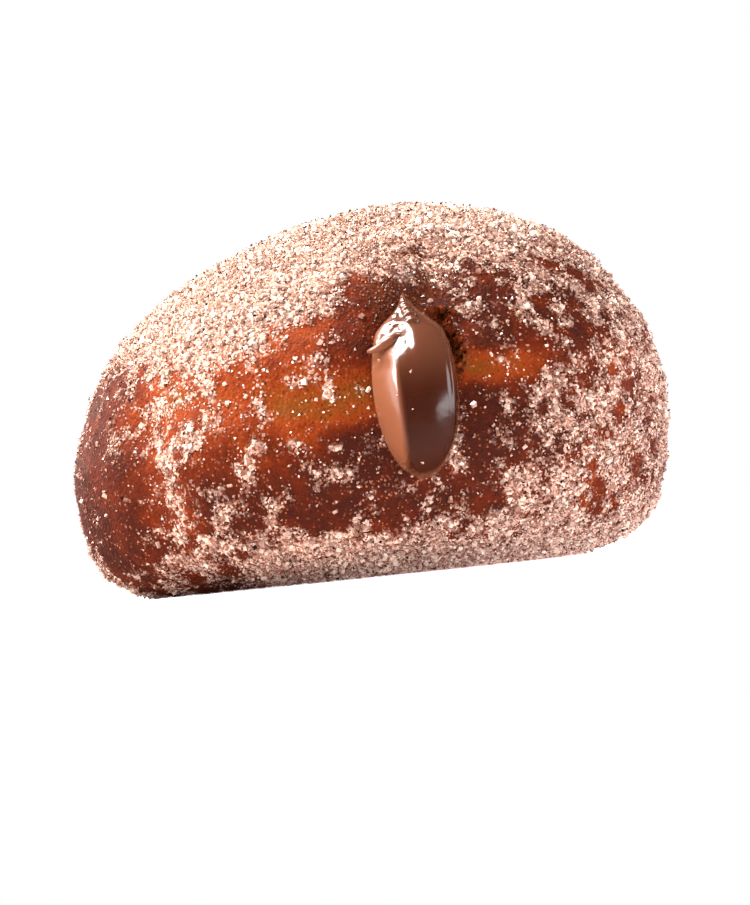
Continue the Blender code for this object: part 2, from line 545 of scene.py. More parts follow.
    def local_directions(self, points: Array) -> Array:
        """Directions of places from the belly's middle, with the dome's lean undone.

        Args:
            points: Places in metres, one a row.

        Returns:
            Unit vectors, one a row.
        """
        local = points - self.shift - np.array((0.0, 0.0, self.belly_height))
        local[:, 0] -= self.dome_lean * np.clip(local[:, 2] / self.dome_rise, 0.0, 1.0)
        return local / np.linalg.norm(local, axis=1, keepdims=True)


# ---------------------------------------------------------------- what lies where on the crust

@dataclass(frozen=True)
class Patch:
    """A stretch of crust about one direction, with the sugar and the browning that it has.

    The place and the reach are in degrees; sugar runs from 0 for bare to 1 for thick,
    browning from 0 for the pale line to 1 for the darkest crust.
    """

    name: str
    longitude: float
    latitude: float
    wide: float
    tall: float
    sugar: float
    browning: float

    def pull(self, longitude: Array, latitude: Array) -> Array:
        """How strongly each direction belongs to the patch.

        Args:
            longitude: Longitudes in degrees.
            latitude: Latitudes in degrees.

        Returns:
            One value for each, 1 at the patch's middle and near 0 away from it.
        """
        aside = (longitude - self.longitude + 180.0) % 360.0 - 180.0
        aside = aside * np.cos(np.radians(latitude)) / self.wide
        return bell(np.hypot(aside, (latitude - self.latitude) / self.tall), 1.0)


ALL_ROUND = 1000.0


@dataclass
class SkinMap:
    """Where the sugar lies thick or thin, and where the crust is pale, dark or stained by cream."""

    form: DoughForm
    patches: tuple[Patch, ...] = (
        Patch("crown", 0, 62, ALL_ROUND, 11, 1.00, 0.35),
        Patch("shoulder", -138, 26, 14, 10, 0.95, 0.30),
        Patch("shoulder front", -117, 29, 8, 6, 0.92, 0.40),
        Patch("worn shoulder", -136, 11, 5, 5, 0.46, 0.38),
        Patch("left strip", -133, -8, 4, 12, 0.40, 0.50),
        Patch("left strip foot", -122, -19, 7, 5, 0.44, 0.85),
        Patch("lobe top", -158, 14, 9, 5, 0.00, 0.95),
        Patch("lobe front", -150, 6, 6, 7, 0.00, 0.90),
        Patch("lobe", -160, -5, 13, 9, 0.00, 0.90),
        Patch("lobe foot", -150, -27, 15, 6, 0.06, 0.85),
        Patch("notch foot", -133, -35, 8, 5, 0.12, 0.85),
        Patch("orange", -110, 17, 8, 6, 0.16, 0.32),
        Patch("orange low", -112, 2, 8, 5, 0.31, 0.44),
        Patch("gold left", -104.5, 8, 3, 4, 0.03, 0.24),
        Patch("gold", -95, 10, 4, 3, 0.14, 0.18),
        Patch("over the gold", -94, 25, 6, 6, 0.00, 0.88),
        Patch("low front", -104, -9, 13, 5, 0.15, 0.92),
        Patch("below the cream", -85, -9, 7, 4, 0.17, 0.90),
        Patch("at the cream's tip", -75, -8, 3, 2.5, 0.26, 0.80),
        Patch("gold right", -66, 11, 6, 2, 0.05, 0.14),
        Patch("torn edge", -70, 15, 2, 3, 0.02, 0.10),
        Patch("over the right gold", -66, 21, 9, 6, 0.00, 0.84),
        Patch("dark top right", -57, 32, 11, 5, 0.47, 0.90),
        Patch("dark right", -66, 1, 6, 5, 0.18, 0.97),
        Patch("right clump", -52, -2, 4, 6, 0.48, 0.80),
        Patch("right flank", -40, 12, 10, 11, 0.34, 0.72),
        Patch("right top", -38, 35, 10, 7, 0.50, 0.72),
        Patch("right end", -20, 5, 10, 20, 0.56, 0.70),
        Patch("right low", -36, -14, 12, 6, 0.40, 0.62),
        Patch("mauve front", -68, -17, 12, 4, 0.36, 0.88),
        Patch("foot", -85, -31, 34, 7, 0.90, 0.68),
        Patch("foot right", -40, -28, 14, 6, 0.90, 0.40),
        Patch("back right", 20, 2, 25, 18, 0.60, 0.62),
        Patch("back bare", 75, 8, 18, 9, 0.26, 0.50),
        Patch("back gold", 95, 12, 14, 3, 0.14, 0.13),
        Patch("back low", 100, -10, 25, 6, 0.40, 0.90),
        Patch("back left", 140, -3, 20, 14, 0.66, 0.70),
        Patch("back shoulder", 100, 34, 40, 8, 0.86, 0.44),
        Patch("back foot", 90, -31, 60, 8, 0.82, 0.70),
    )
    plain_weight: float = 0.01
    plain_amount: float = 0.006
    wander_sizes: Pair = (8 * MM, 2.6 * MM)
    wander_shifts: tuple[Pair, Pair] = ((0.0, 0.4), (0.2, 0.6))
    wander_fine: float = 0.7
    wander_degrees: Pair = (2.4, 1.9)
    clumps: Layers = ((0.9, 2.2 * MM, 2), (0.38, 7 * MM, 2), (0.5, 1.2 * MM, 1))
    cover_range: Pair = (-0.75, 0.70)
    sugar_pull: float = 2.0
    stain_pull: float = 0.55
    stain_start: Pair = (-84.0, 33.0)
    stain_end: Pair = (-76.0, 44.0)
    stain_spread: float = 4.3
    stain_strength: float = 1.8
    stain_ragged: Layers = ((0.5, 2.0 * MM, 3),)
    pale_line_spread: float = 2.2 * MM
    pale_line_strength: float = 0.14
    pale_line_wander: Layers = ((1.0 * MM, 14 * MM, 3),)
    scorches: Layers = ((0.16, 5 * MM, 3), (0.14, 1.8 * MM, 2))
    noise: LatticeNoise = LatticeNoise(11)

    def wander(self, points: Array) -> Array:
        """How far the borders of the patches stray at each place.

        Args:
            points: Places on the crust, one a row.

        Returns:
            Two values a row, from about -1 to 1.
        """
        (coarse, fine), (shifts, fine_shifts) = self.wander_sizes, self.wander_shifts
        stray = np.column_stack([self.noise.layered(points + by, coarse) for by in shifts])
        return stray + self.wander_fine * np.column_stack(
            [self.noise.layered(points + by, fine, 2) for by in fine_shifts])

    def blend(self, points: Array) -> tuple[Array, Array]:
        """Blend the patches.

        Args:
            points: Places on the crust, one a row.

        Returns:
            The sugar and the browning at each place, from 0 to 1, with soft borders.
        """
        x, y, z = self.form.local_directions(points).T
        stray = self.wander(points) * self.wander_degrees
        lon = np.degrees(np.arctan2(y, x)) + stray[:, 0]
        lat = np.degrees(np.arcsin(np.clip(z, -1.0, 1.0))) + stray[:, 1]
        weight = np.full(len(points), self.plain_weight)
        sugar = np.full(len(points), self.plain_amount)
        browning = sugar.copy()
        for patch in self.patches:
            pull = patch.pull(lon, lat)
            weight += pull
            sugar += pull * patch.sugar
            browning += pull * patch.browning
        return sugar / weight, browning / weight

    def cover(self, points: Array) -> Array:
        """How thickly sugar lies, broken up into clumps.

        Args:
            points: Places on the crust, one a row.

        Returns:
            One value for each place, from 0 for bare to 1 for thick.
        """
        sugar, _ = self.blend(points)
        clump = self.noise.blended(points, self.clumps) + self.sugar_pull * (sugar - 0.5)
        return smoothstep(*self.cover_range, clump - self.stain_pull * self.stain(points))

    def brown(self, points: Array) -> Array:
        """How darkly the crust is fried.

        Args:
            points: Places on the crust, one a row.

        Returns:
            One value for each place, from 0 for the pale line to 1 for the darkest.
        """
        _, browning = self.blend(points)
        level = points[:, 2] - self.form.waist_height
        level = level + self.noise.blended(points, self.pale_line_wander)
        browning = browning - self.pale_line_strength * bell(level, self.pale_line_spread)
        return np.clip(browning + self.noise.blended(points, self.scorches), 0.0, 1.0)

    def stain(self, points: Array) -> Array:
        """How much cream is smeared into the sugar.

        Args:
            points: Places on the crust, one a row.

        Returns:
            One value for each place, from 0 to 1.
        """
        directions = self.form.local_directions(points)
        line = angle_to_line(directions, self.stain_start, self.stain_end)
        ragged = 1.0 + self.noise.blended(points, self.stain_ragged)
        return np.clip(self.stain_strength * bell(line, self.stain_spread) * ragged, 0.0, 1.0)


# ---------------------------------------------------------------- materials

SRGB_BREAK = 0.04045
SRGB_SLOPE = 12.92
SRGB_OFFSET = 0.055
SRGB_POWER = 2.4


def srgb(red: int, green: int, blue: int) -> Colour:
    """A colour given as screen values.

    Args:
        red: Red from 0 to 255.
        green: Green from 0 to 255.
        blue: Blue from 0 to 255.

    Returns:
        The linear red, green and blue that shaders use, and 1 for opaque.
    """
    shares = [value / 255 for value in (red, green, blue)]
    curved = [((share + SRGB_OFFSET) / (1.0 + SRGB_OFFSET)) ** SRGB_POWER for share in shares]
    return *(share / SRGB_SLOPE if share <= SRGB_BREAK else bent
             for share, bent in zip(shares, curved)), 1.0


class NodeGraph:
    """Short ways to add and join the nodes of one node tree."""

    def __init__(self, tree: bpy.types.NodeTree) -> None:
        """Work on a tree."""
        self.tree = tree

    def feed(self, socket: Socket, value: object) -> None:
        """Give an input a value, or join a socket to it.

        Args:
            socket: The input.
            value: The value, or the socket to join.
        """
        if isinstance(value, Socket):
            self.tree.links.new(value, socket)
        else:
            socket.default_value = value

    def add(self, kind: str, inputs: dict | None = None, **settings: object) -> bpy.types.Node:
        """Add a node.

        Args:
            kind: The node's type name.
            inputs: Values or sockets for its inputs, by name or number.
            **settings: The node's own settings.

        Returns:
            The node.
        """
        node = self.tree.nodes.new(kind)
        for name, value in settings.items():
            setattr(node, name, value)
        for name, value in (inputs or {}).items():
            self.feed(node.inputs[name], value)
        return node

    def maths(self, operation: str, first: object, second: object, clamp: bool = False) -> Socket:
        """One sum of two values or sockets."""
        return self.add("ShaderNodeMath", {0: first, 1: second}, operation=operation,
                        use_clamp=clamp).outputs[0]

    def swing(self, value: object, mask: Socket, strength: object, clamp: bool = False) -> Socket:
        """Move a value up and down with a mask.

        Args:
            value: The value or socket that is moved.
            mask: The mask, whose middle is one half.
            strength: How far it moves the value.
            clamp: Whether the result stays from 0 to 1.

        Returns:
            The moved value.
        """
        off_middle = self.maths("SUBTRACT", mask, 0.5)
        return self.maths("ADD", value, self.maths("MULTIPLY", off_middle, strength), clamp)

    def scale(self, value: object, factor: object, start: object) -> Socket:
        """A value times a factor, added to a start."""
        return self.maths("ADD", self.maths("MULTIPLY", value, factor), start)

    def ease(self, value: object, low: float, high: float) -> Socket:
        """Ease a socket from 0 at low to 1 at high."""
        return self.add("ShaderNodeMapRange", {"Value": value, "From Min": low, "From Max": high},
                        interpolation_type="SMOOTHSTEP").outputs["Result"]

    def mix(self, share: object, first: object, second: object) -> Socket:
        """Mix two colours.

        Args:
            share: How much of the second colour there is, from 0 to 1.
            first: The first colour or its socket.
            second: The second colour or its socket.

        Returns:
            The colour socket.
        """
        node = self.add("ShaderNodeMix", {"Factor": share}, data_type="RGBA")
        inputs = [socket for socket in node.inputs if socket.type == "RGBA"]
        for socket, value in zip(inputs, (first, second)):
            self.feed(socket, value)
        return next(socket for socket in node.outputs if socket.type == "RGBA")

    def ramp(self, value: object, stops: tuple[tuple[float, Colour], ...]) -> Socket:
        """Colours along a value.

        Args:
            value: The socket that runs along the ramp.
            stops: Places from 0 to 1 and their colours, in order.

        Returns:
            The colour socket.
        """
        node = self.add("ShaderNodeValToRGB", {"Fac": value})
        elements = node.color_ramp.elements
        while len(elements) < len(stops):
            elements.new(1.0)
        for element, (place, colour) in zip(elements, stops):
            element.position = place
            element.color = colour
        return node.outputs["Color"]

    def attribute(self, name: str) -> Socket:
        """The values that a mesh stores under a name."""
        return self.add("ShaderNodeAttribute", attribute_name=name).outputs["Fac"]

    def places(self) -> Socket:
        """Places in the object's own frame, in metres."""
        return self.add("ShaderNodeTexCoord").outputs["Object"]

    def cells(self, to_the_metre: float) -> tuple[Socket, bpy.types.Node]:
        """Split the surface into small cells.

        Args:
            to_the_metre: How many cells there are to the metre.

        Returns:
            The distance from each cell's middle, and a node that puts out its chances.
        """
        node = self.add("ShaderNodeTexVoronoi", {"Vector": self.places(), "Scale": to_the_metre})
        chances = self.add("ShaderNodeSeparateColor", {"Color": node.outputs["Color"]})
        return node.outputs["Distance"], chances

    def roughen(self, shader: bpy.types.Node, mask: Socket, low: float, high: float) -> None:
        """Run a shader's roughness from low to high along a mask."""
        node = self.add("ShaderNodeMapRange", {"Value": mask, "To Min": low, "To Max": high})
        self.feed(shader.inputs["Roughness"], node.outputs["Result"])

    def emboss(self, shader: bpy.types.Node, height: Socket, depth: float, strength: float) -> None:
        """Raise and sink a shader's surface by a height."""
        node = self.add("ShaderNodeBump", {"Height": height, "Distance": depth,
                                           "Strength": strength})
        self.feed(shader.inputs["Normal"], node.outputs["Normal"])


MOTTLE_INPUTS = (("Blotch", 100.0), ("Fine", 900.0), ("Contrast", 1.0))
BLOTCH_SHARE = 0.65
FINE_SHARE = 0.35


def mottle_group() -> bpy.types.NodeTree:
    """Node group that puts out soft blotches over fine ones; it is built once.

    Returns:
        The group, with inputs Vector, Blotch, Fine and Contrast and output Mask.
    """
    found = bpy.data.node_groups.get("Mottle")
    if found is not None:
        return found
    tree = bpy.data.node_groups.new("Mottle", "ShaderNodeTree")
    tree.interface.new_socket("Vector", in_out="INPUT", socket_type="NodeSocketVector")
    for name, value in MOTTLE_INPUTS:
        socket = tree.interface.new_socket(name, in_out="INPUT", socket_type="NodeSocketFloat")
        socket.default_value = value
    tree.interface.new_socket("Mask", in_out="OUTPUT", socket_type="NodeSocketFloat")
    graph = NodeGraph(tree)
    start = graph.add("NodeGroupInput").outputs
    layers = []
    for size, detail, share in (("Blotch", 3.0, BLOTCH_SHARE), ("Fine", 2.0, FINE_SHARE)):
        noise = graph.add("ShaderNodeTexNoise", {"Vector": start["Vector"], "Scale": start[size],
                                                 "Detail": detail})
        layers.append(graph.maths("MULTIPLY", noise.outputs["Fac"], share))
    mask = graph.swing(0.5, graph.maths("ADD", *layers), start["Contrast"], clamp=True)
    graph.add("NodeGroupOutput", {"Mask": mask})
    return tree


def add_mottle(graph: NodeGraph, sizes: Triple) -> Socket:
    """Place the mottle group in a material.

    Args:
        graph: The material's nodes.
        sizes: Blotches to the metre, fine marks to the metre and contrast.

    Returns:
        The mask socket, from 0 to 1.
    """
    inputs = {name: size for (name, _), size in zip(MOTTLE_INPUTS, sizes)}
    node = graph.add("ShaderNodeGroup", node_tree=mottle_group())
    for name, value in {"Vector": graph.places(), **inputs}.items():
        graph.feed(node.inputs[name], value)
    return node.outputs["Mask"]


def new_material(name: str) -> tuple[bpy.types.Material, NodeGraph, bpy.types.Node]:
    """Start a material.

    Args:
        name: The material's name.

    Returns:
        The material, its nodes and its Principled shader.
    """
    material = bpy.data.materials.new(name)
    material.use_nodes = True
    return material, NodeGraph(material.node_tree), material.node_tree.nodes["Principled BSDF"]


@dataclass(frozen=True)
class CrustFinish:
    """Fried crust: gold at the pale line, orange to red-brown elsewhere, and a bed of sugar."""

    fried_stops: tuple = ((0.05, srgb(98, 52, 14)), (0.3, srgb(116, 45, 14)),
                          (0.6, srgb(82, 28, 10)), (0.95, srgb(54, 21, 13)))
    stained: Colour = srgb(74, 32, 17)
    fleck: Colour = srgb(52, 18, 10)
    bed_stops: tuple = ((0.0, srgb(128, 78, 64)), (0.45, srgb(188, 138, 118)),
                        (1.0, srgb(240, 212, 194)))
    dust: Colour = srgb(192, 114, 80)
    mottle: Triple = (260.0, 1500.0, 1.7)
    fried_swing: float = 0.6
    stain_edge: Pair = (0.15, 0.6)
    bed_cells: float = 2500.0
    bed_swing: float = 0.5
    bed_edge: Pair = (0.25, 0.90)
    bed_strength: float = 0.88
    dust_cells: float = 2300.0
    dot_edge: Pair = (0.5, 0.15)
    dust_where: Pair = (0.6, 1.0)
    dust_shine: Pair = (0.6, 0.1)
    fleck_where: Pair = (0.34, 0.14)
    fleck_strength: float = 0.7
    gloss: float = 0.02
    roughness: Pair = (0.45, 0.85)
    pit_start: float = 0.4
    mottle_height: float = 1.2
    dust_height: float = 0.9
    relief: Pair = (0.3 * MM, 0.8)

    def fried(self, graph: NodeGraph, mottle: Socket) -> Socket:
        """Colour of the bare crust, from its browning and the cream on it.

        Args:
            graph: The material's nodes.
            mottle: The crust's blotches.

        Returns:
            The colour socket.
        """
        shade = graph.swing(graph.attribute("browning"), mottle, self.fried_swing, clamp=True)
        smeared = graph.ease(graph.attribute("stain"), *self.stain_edge)
        return graph.mix(smeared, graph.ramp(shade, self.fried_stops), self.stained)

    def dusting(self, graph: NodeGraph) -> tuple[Socket, Socket]:
        """Masks of the tiny crystals and of the cinnamon flecks that lie singly on bare crust.

        Args:
            graph: The material's nodes.

        Returns:
            The crystals' mask and the flecks' mask.
        """
        distance, chances = graph.cells(self.dust_cells)
        dot = graph.ease(distance, *self.dot_edge)
        sugary = graph.maths("ADD", chances.outputs["Green"], graph.attribute("sugar_cover"))
        shine = graph.scale(chances.outputs["Blue"], *self.dust_shine)
        pale = graph.maths("MULTIPLY", dot, graph.ease(sugary, *self.dust_where))
        fleck = graph.ease(chances.outputs["Green"], *self.fleck_where)
        return graph.maths("MULTIPLY", pale, shine), graph.maths("MULTIPLY", dot, fleck)

    def build(self) -> bpy.types.Material:
        """Make the material.

        Returns:
            The material.
        """
        material, graph, shader = new_material("fried_crust")
        mottle = add_mottle(graph, self.mottle)
        distance, chances = graph.cells(self.bed_cells)
        tone = chances.outputs["Red"]
        patchy = graph.swing(graph.attribute("sugar_cover"), tone, self.bed_swing)
        mask = graph.maths("MULTIPLY", graph.ease(patchy, *self.bed_edge), self.bed_strength)
        dust, flecks = self.dusting(graph)
        colour = graph.mix(graph.maths("MULTIPLY", flecks, self.fleck_strength),
                           self.fried(graph, mottle), self.fleck)
        colour = graph.mix(dust, colour, self.dust)
        colour = graph.mix(mask, colour, graph.ramp(tone, self.bed_stops))
        graph.feed(shader.inputs["Base Color"], colour)
        shader.inputs["Specular IOR Level"].default_value = self.gloss
        soaked = graph.maths("MAXIMUM", mask, graph.attribute("stain"))
        graph.roughen(shader, soaked, *self.roughness)
        pits = graph.maths("MULTIPLY", graph.maths("MULTIPLY", distance, -1.0),
                           graph.maths("ADD", mask, self.pit_start))
        height = graph.scale(dust, self.dust_height, graph.scale(mottle, self.mottle_height, pits))
        graph.emboss(shader, height, *self.relief)
        return material


@dataclass(frozen=True)
class CreamFinish:
    """Smooth milk chocolate cream, wet and glossy, with painted light: a paler colour on its lit
    left flank, its upper part and its lower rim.
    """

    body: Colour = srgb(46, 16, 5)
    pale: Colour = srgb(60, 23, 8)
    # Painted light: this paler colour stands in for the key light on the left flank and the upper
    # part, and for the rim reflection along the lower edge.
    thin: Colour = srgb(106, 62, 42)
    mottle: Triple = (220.0, 900.0, 1.6)
    pale_share: float = 0.5
    roughness: Pair = (0.12, 0.26)
    relief: Pair = (0.1 * MM, 0.25)

    def build(self) -> bpy.types.Material:
        """Make the material.

        Returns:
            The material.
        """
        material, graph, shader = new_material("chocolate_cream")
        mottle = add_mottle(graph, self.mottle)
        share = graph.maths("MULTIPLY", mottle, self.pale_share)
        thick = graph.mix(share, self.body, self.pale)
        # Painted light: the stored 'thin' mask lays the paler colour where light and rim reflection
        # fall, not where the cream is thinner.
        colour = graph.mix(graph.attribute("thin"), thick, self.thin)
        graph.feed(shader.inputs["Base Color"], colour)
        graph.roughen(shader, mottle, *self.roughness)
        graph.emboss(shader, mottle, *self.relief)
        return material


@dataclass(frozen=True)
class GrainFinish:
    """Loose grains, each with its own tone along a ramp of colours."""

    name: str
    stops: tuple[tuple[float, Colour], ...]
    roughness: float
    clearness: float = 0.0
    gloss: float = 0.5
    frost: Triple = (900.0, 4000.0, 0.5)
    frost_swing: float = 0.3

    def build(self) -> bpy.types.Material:
        """Make the material.

        Returns:
            The material.
        """
        material, graph, shader = new_material(self.name)
        frost = add_mottle(graph, self.frost)
        tone = graph.swing(graph.attribute("tone"), frost, self.frost_swing, clamp=True)
        graph.feed(shader.inputs["Base Color"], graph.ramp(tone, self.stops))
        shader.inputs["Specular IOR Level"].default_value = self.gloss
        shader.inputs["Roughness"].default_value = self.roughness
        shader.inputs["Transmission Weight"].default_value = self.clearness
        return material


SUGAR_CLEAR = GrainFinish("clear_sugar", (
    (0.0, srgb(160, 114, 98)), (0.35, srgb(213, 177, 160)),
    (0.75, srgb(242, 214, 195)), (1.0, srgb(253, 239, 226))), 0.22, 0.35)
SUGAR_STAINED = GrainFinish("stained_sugar", (
    (0.0, srgb(74, 36, 24)), (0.5, srgb(134, 84, 64)), (1.0, srgb(212, 166, 144))), 0.3, 0.25)
CRUMB_BROWN = GrainFinish("torn_crumb", (
    (0.0, srgb(70, 27, 13)), (0.5, srgb(108, 47, 22)), (1.0, srgb(146, 78, 40))), 0.8, gloss=0.0)
CINNAMON_DARK = GrainFinish("ground_cinnamon", (
    (0.0, srgb(30, 16, 12)), (0.5, srgb(62, 32, 20)), (1.0, srgb(98, 50, 30))), 0.8, gloss=0.1)


# ---------------------------------------------------------------- the pieces

@dataclass(frozen=True)
class Hollow:
    """A ragged hollow torn into the crust."""

    center: Triple
    size: Triple
    edge_ragged: Layers = ((0.22, 2.2 * MM, 3),)
    lip_height: float = 0.3 * MM
    lip_place: float = 1.12
    lip_spread: float = 0.10
    crumb_relief: Layers = ((0.5 * MM, 1.5 * MM, 2),)
    crumb_fade: float = 0.4

    def sink(self, points: Array, noise: LatticeNoise) -> tuple[Array, Array]:
        """Sink the skin into the hollow.

        Args:
            points: Places of the skin, one a row.
            noise: The noise that makes its edge and its inside ragged.

        Returns:
            The new places, and how deep inside the hollow each one is, from 0 to 1.
        """
        center, size = np.array(self.center), np.array(self.size)
        ragged = 1.0 + noise.blended(points, self.edge_ragged)
        apart = (points - center) / size / ragged[:, None]
        across = apart[:, 0] ** 2 + apart[:, 2] ** 2
        back = center[1] + size[1] * np.sqrt(np.maximum(1.0 - across, 0.0))
        inside = (across < 1.0) & (points[:, 1] < back)
        depth = np.where(inside, 1.0 - across, 0.0)
        lip = self.lip_height * bell(np.sqrt(across) - self.lip_place, self.lip_spread)
        crumbly = noise.blended(points, self.crumb_relief)
        sunk = back + crumbly * smoothstep(0.0, self.crumb_fade, depth)
        moved = points.copy()
        moved[:, 1] = np.where(inside, sunk, points[:, 1]) - lip * (points[:, 1] < 0.0)
        return moved, depth


@dataclass
class Crust:
    """The dough's skin, which replaces the plain dough solid."""

    form: DoughForm
    skin_map: SkinMap
    divisions: int = 116
    foot_lift: float = 0.15 * MM
    tears: tuple[Hollow, ...] = (
        Hollow(mm(10.8, -32.0, 28.2), mm(2.8, 6.5, 4.8)),
        Hollow(mm(11.0, -28.4, 32.8), mm(1.5, 4.0, 1.4)),
    )
    torn_fade: float = 0.3
    lumps: Layers = ((0.22 * MM, 7 * MM, 3), (0.08 * MM, 2.2 * MM, 3))
    heap_height: float = 0.22 * MM
    heap_size: float = 1.7 * MM
    pucker: Swelling = Swelling(-66, 14, 5.0, 0.16 * MM)
    pucker_width: float = 1.5 * MM
    noise: LatticeNoise = LatticeNoise(5)

    def roughen(self, points: Array, directions: Array) -> Array:
        """Add the crust's unevenness: soft lumps, sugar heaps and puckers beside the tear.

        Args:
            points: Places of the even skin, one a row.
            directions: Their directions from the belly's middle.

        Returns:
            The new places.
        """
        heaped = 0.5 + self.noise.layered(points, self.heap_size, 2)
        rise = self.noise.blended(points, self.lumps)
        rise += self.heap_height * self.skin_map.cover(points) * heaped
        from_tear = np.linalg.norm(points - np.array(self.tears[0].center), axis=1)
        rise += self.pucker.at(directions) * np.sin(FULL_TURN * from_tear / self.pucker_width)
        return points + directions * rise[:, None]

    def build(self, material: bpy.types.Material) -> bpy.types.Object:
        """Make the crust and dress it.

        Args:
            material: The crust's material.

        Returns:
            The crust object.
        """
        directions, faces = cube_sphere(self.divisions)
        points = self.roughen(self.form.skin(directions), directions)
        depth = np.zeros(len(points))
        for tear in self.tears:
            points, deeper = tear.sink(points, self.noise)
            depth = np.maximum(depth, deeper)
        points[:, 2] = np.maximum(points[:, 2], self.foot_lift)
        item = new_mesh("sugared_crust", points, faces, smooth=True)
        inside = smoothstep(0.0, self.torn_fade, depth)
        set_attribute(item, "sugar_cover", self.skin_map.cover(points) * (1.0 - inside))
        set_attribute(item, "browning", self.skin_map.brown(points))
        set_attribute(item, "stain", np.maximum(self.skin_map.stain(points), inside))
        set_attribute(item, "torn", inside)
        set_map(item, cube_map(self.divisions))
        item.data.materials.append(material)
        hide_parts("dough")
        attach(item, BODY)
        return item


@dataclass(frozen=True)
class Strand:
    """A tapering strand of cream, thick at its root.

    Each knot of its path is a place across, a height, and how far it stands proud of the cream.
    """

    path: tuple[Triple, ...]
    root_radius: float
    tip_radius: float
    ribs: int = 0
    rib_height: float = 0.12
    taper: float = 0.8
    tip_roundness: int = 12
    sides: int = 20
    stations: int = 60

    def mesh(self, under: "Tongue") -> tuple[Array, Array]:
        """Work out the strand.

        Args:
            under: The tongue it lies on.

        Returns:
            Points, one a row, and four-sided faces as rows of row numbers.
        """
        share = np.linspace(0.0, 1.0, self.stations)
        x, z, proud = np.array(self.path).T
        center = bezier(np.column_stack((x, under.front_at(x, z) - proud, z)), share)
        along = np.gradient(center, axis=0)
        along /= np.linalg.norm(along, axis=1, keepdims=True)
        aside = np.cross(along, (0.0, 1.0, 0.0))
        aside /= np.linalg.norm(aside, axis=1, keepdims=True)
        front = np.cross(along, aside)
        narrowing = (1.0 - share) ** self.taper
        radius = self.tip_radius + (self.root_radius - self.tip_radius) * narrowing
        ribbed = 1.0 + self.rib_height * np.sin(FULL_TURN * self.ribs * share)
        radius *= np.sqrt(np.clip(1.0 - share ** self.tip_roundness, 0.0, 1.0)) * ribbed
        angle = FULL_TURN * np.arange(self.sides) / self.sides
        ring = (np.cos(angle)[None, :, None] * aside[:, None]
                + np.sin(angle)[None, :, None] * front[:, None])
        points = (center[:, None] + ring * radius[:, None, None]).reshape(-1, 3)
        return points, tube_faces(self.stations, self.sides)


